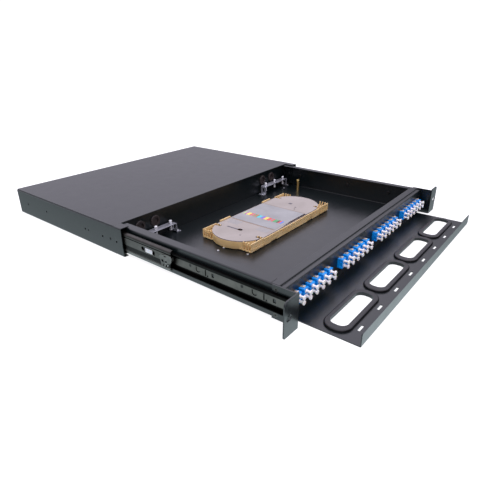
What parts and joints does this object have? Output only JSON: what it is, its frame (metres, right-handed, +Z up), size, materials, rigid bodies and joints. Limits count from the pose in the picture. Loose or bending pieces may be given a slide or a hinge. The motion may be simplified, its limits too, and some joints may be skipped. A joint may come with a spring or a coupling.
{
  "type": "sliding fibre termination box",
  "caption": "Rack-mounted fibre termination box with a slide-out drawer, splice tray, adapter panel, cable clamps and a grommeted front cable tray.",
  "frame": {"origin": "centre of the line through the two rack slots, on the front face of the ears", "axes": "+X right seen from the front, +Y to the back of the rack, +Z up"},
  "size_m": [0.4826, 0.6545, 0.044],
  "materials": {
    "black_powder_coat": "fine textured powder coat",
    "slide_steel": "black zinc, satin",
    "ball_steel": "polished",
    "nylon": "satin",
    "zinc_steel": "bright zinc plated",
    "black_screw": "black oxide",
    "brass": "machined",
    "rubber": "satin",
    "brown_rubber": "matt",
    "adapter_blue": "satin",
    "clip_metal": "nickel-yellow",
    "cap_white": "satin",
    "zirconia": "polished",
    "tray_cream": "satin",
    "cover_grey": "translucent",
    "label_paper": "printed"
  },
  "bodies": {
    "sleeve": {"top_cover": "black_powder_coat", "side_panel_left": "black_powder_coat", "side_panel_right": "black_powder_coat", "slide_outer_left": "slide_steel", "slide_outer_right": "slide_steel", "slide_outer_screws": "black_screw"},
    "drawer": {"drawer_pan": "black_powder_coat", "rear_wall": "black_powder_coat", "rear_wall_screws": "black_screw", "adapter_panel": "black_powder_coat", "panel_screws": "black_screw", "cable_tray": "black_powder_coat", "cable_tray_screws": "black_screw", "slide_inner_left": "slide_steel", "slide_inner_right": "slide_steel", "slide_inner_screws": "black_screw", "rack_ear_left": "black_powder_coat", "rack_ear_right": "black_powder_coat", "ear_screws": "black_screw", "adapter_clips": "clip_metal", "alignment_sleeves": "zirconia", "cable_clamp_left": "zinc_steel", "cable_clamp_right": "zinc_steel", "cable_clamp_screws": "zinc_steel", "clamp_foot_rivets": "zinc_steel", "ground_stud": "brass", "floor_rivets": "zinc_steel", "splice_tray_studs": "zinc_steel", "window_grommet_1": "rubber", "cable_entry_grommet_1": "brown_rubber", "adapter_group_1": "adapter_blue", "window_grommet_2": "rubber", "cable_entry_grommet_2": "brown_rubber", "adapter_group_2": "adapter_blue", "window_grommet_3": "rubber", "cable_entry_grommet_3": "brown_rubber", "adapter_group_3": "adapter_blue", "window_grommet_4": "rubber", "cable_entry_grommet_4": "brown_rubber", "adapter_group_4": "adapter_blue"},
    "middle_slide_left": {"slide_middle_left": "slide_steel", "slide_stop_left": "nylon", "slide_latch_left": "slide_steel"},
    "middle_slide_right": {"slide_middle_right": "slide_steel", "slide_stop_right": "nylon", "slide_latch_right": "slide_steel"},
    "outer_cage_left": {"ball_cage_outer_left": "ball_steel"},
    "outer_cage_right": {"ball_cage_outer_right": "ball_steel"},
    "inner_cage_left": {"ball_cage_inner_left": "ball_steel"},
    "inner_cage_right": {"ball_cage_inner_right": "ball_steel"},
    "splice_tray": {"splice_tray_base": "tray_cream", "splice_holder": "tray_cream"},
    "splice_cover": {"splice_tray_cover": "cover_grey", "fibre_label": "label_paper"},
    "caps_1": {"dust_caps_1": "cap_white"},
    "caps_2": {"dust_caps_2": "cap_white"},
    "caps_3": {"dust_caps_3": "cap_white"},
    "caps_4": {"dust_caps_4": "cap_white"},
    "rear_caps": {"rear_dust_caps": "cap_white"}
  },
  "joints": [
    {"name": "drawer_slide", "type": "slide", "parent": "sleeve", "child": "drawer", "axis": [0, 1, 0], "range_m": [0, 0.282]},
    {"name": "middle_left_slide", "type": "slide", "parent": "sleeve", "child": "middle_slide_left", "axis": [0, 1, 0], "range_m": [0, 0.1]},
    {"name": "outer_cage_left_slide", "type": "slide", "parent": "sleeve", "child": "outer_cage_left", "axis": [0, 1, 0], "range_m": [0, 0.0503]},
    {"name": "inner_cage_left_slide", "type": "slide", "parent": "sleeve", "child": "inner_cage_left", "axis": [0, 1, 0], "range_m": [0, 0.1913]},
    {"name": "middle_right_slide", "type": "slide", "parent": "sleeve", "child": "middle_slide_right", "axis": [0, 1, 0], "range_m": [0, 0.1]},
    {"name": "outer_cage_right_slide", "type": "slide", "parent": "sleeve", "child": "outer_cage_right", "axis": [0, 1, 0], "range_m": [0, 0.0503]},
    {"name": "inner_cage_right_slide", "type": "slide", "parent": "sleeve", "child": "inner_cage_right", "axis": [0, 1, 0], "range_m": [0, 0.1913]},
    {"name": "splice_tray_lift", "type": "slide", "parent": "drawer", "child": "splice_tray", "axis": [0, 0, 1], "range_m": [0, 0.01]},
    {"name": "splice_cover_lift", "type": "slide", "parent": "splice_tray", "child": "splice_cover", "axis": [0, 0, 1], "range_m": [0, 0.012]},
    {"name": "caps_1_pull", "type": "slide", "parent": "drawer", "child": "caps_1", "axis": [0, -1, 0], "range_m": [0, 0.012]},
    {"name": "caps_2_pull", "type": "slide", "parent": "drawer", "child": "caps_2", "axis": [0, -1, 0], "range_m": [0, 0.012]},
    {"name": "caps_3_pull", "type": "slide", "parent": "drawer", "child": "caps_3", "axis": [0, -1, 0], "range_m": [0, 0.012]},
    {"name": "caps_4_pull", "type": "slide", "parent": "drawer", "child": "caps_4", "axis": [0, -1, 0], "range_m": [0, 0.012]},
    {"name": "rear_caps_pull", "type": "slide", "parent": "drawer", "child": "rear_caps", "axis": [0, 1, 0], "range_m": [0, 0.012]}
  ],
  "couplings": [
    {"joint": "middle_left_slide", "follows": "drawer_slide", "ratio": 0.353},
    {"joint": "outer_cage_left_slide", "follows": "drawer_slide", "ratio": 0.1765},
    {"joint": "inner_cage_left_slide", "follows": "drawer_slide", "ratio": 0.6765},
    {"joint": "middle_right_slide", "follows": "drawer_slide", "ratio": 0.353},
    {"joint": "outer_cage_right_slide", "follows": "drawer_slide", "ratio": 0.1765},
    {"joint": "inner_cage_right_slide", "follows": "drawer_slide", "ratio": 0.6765}
  ]
}
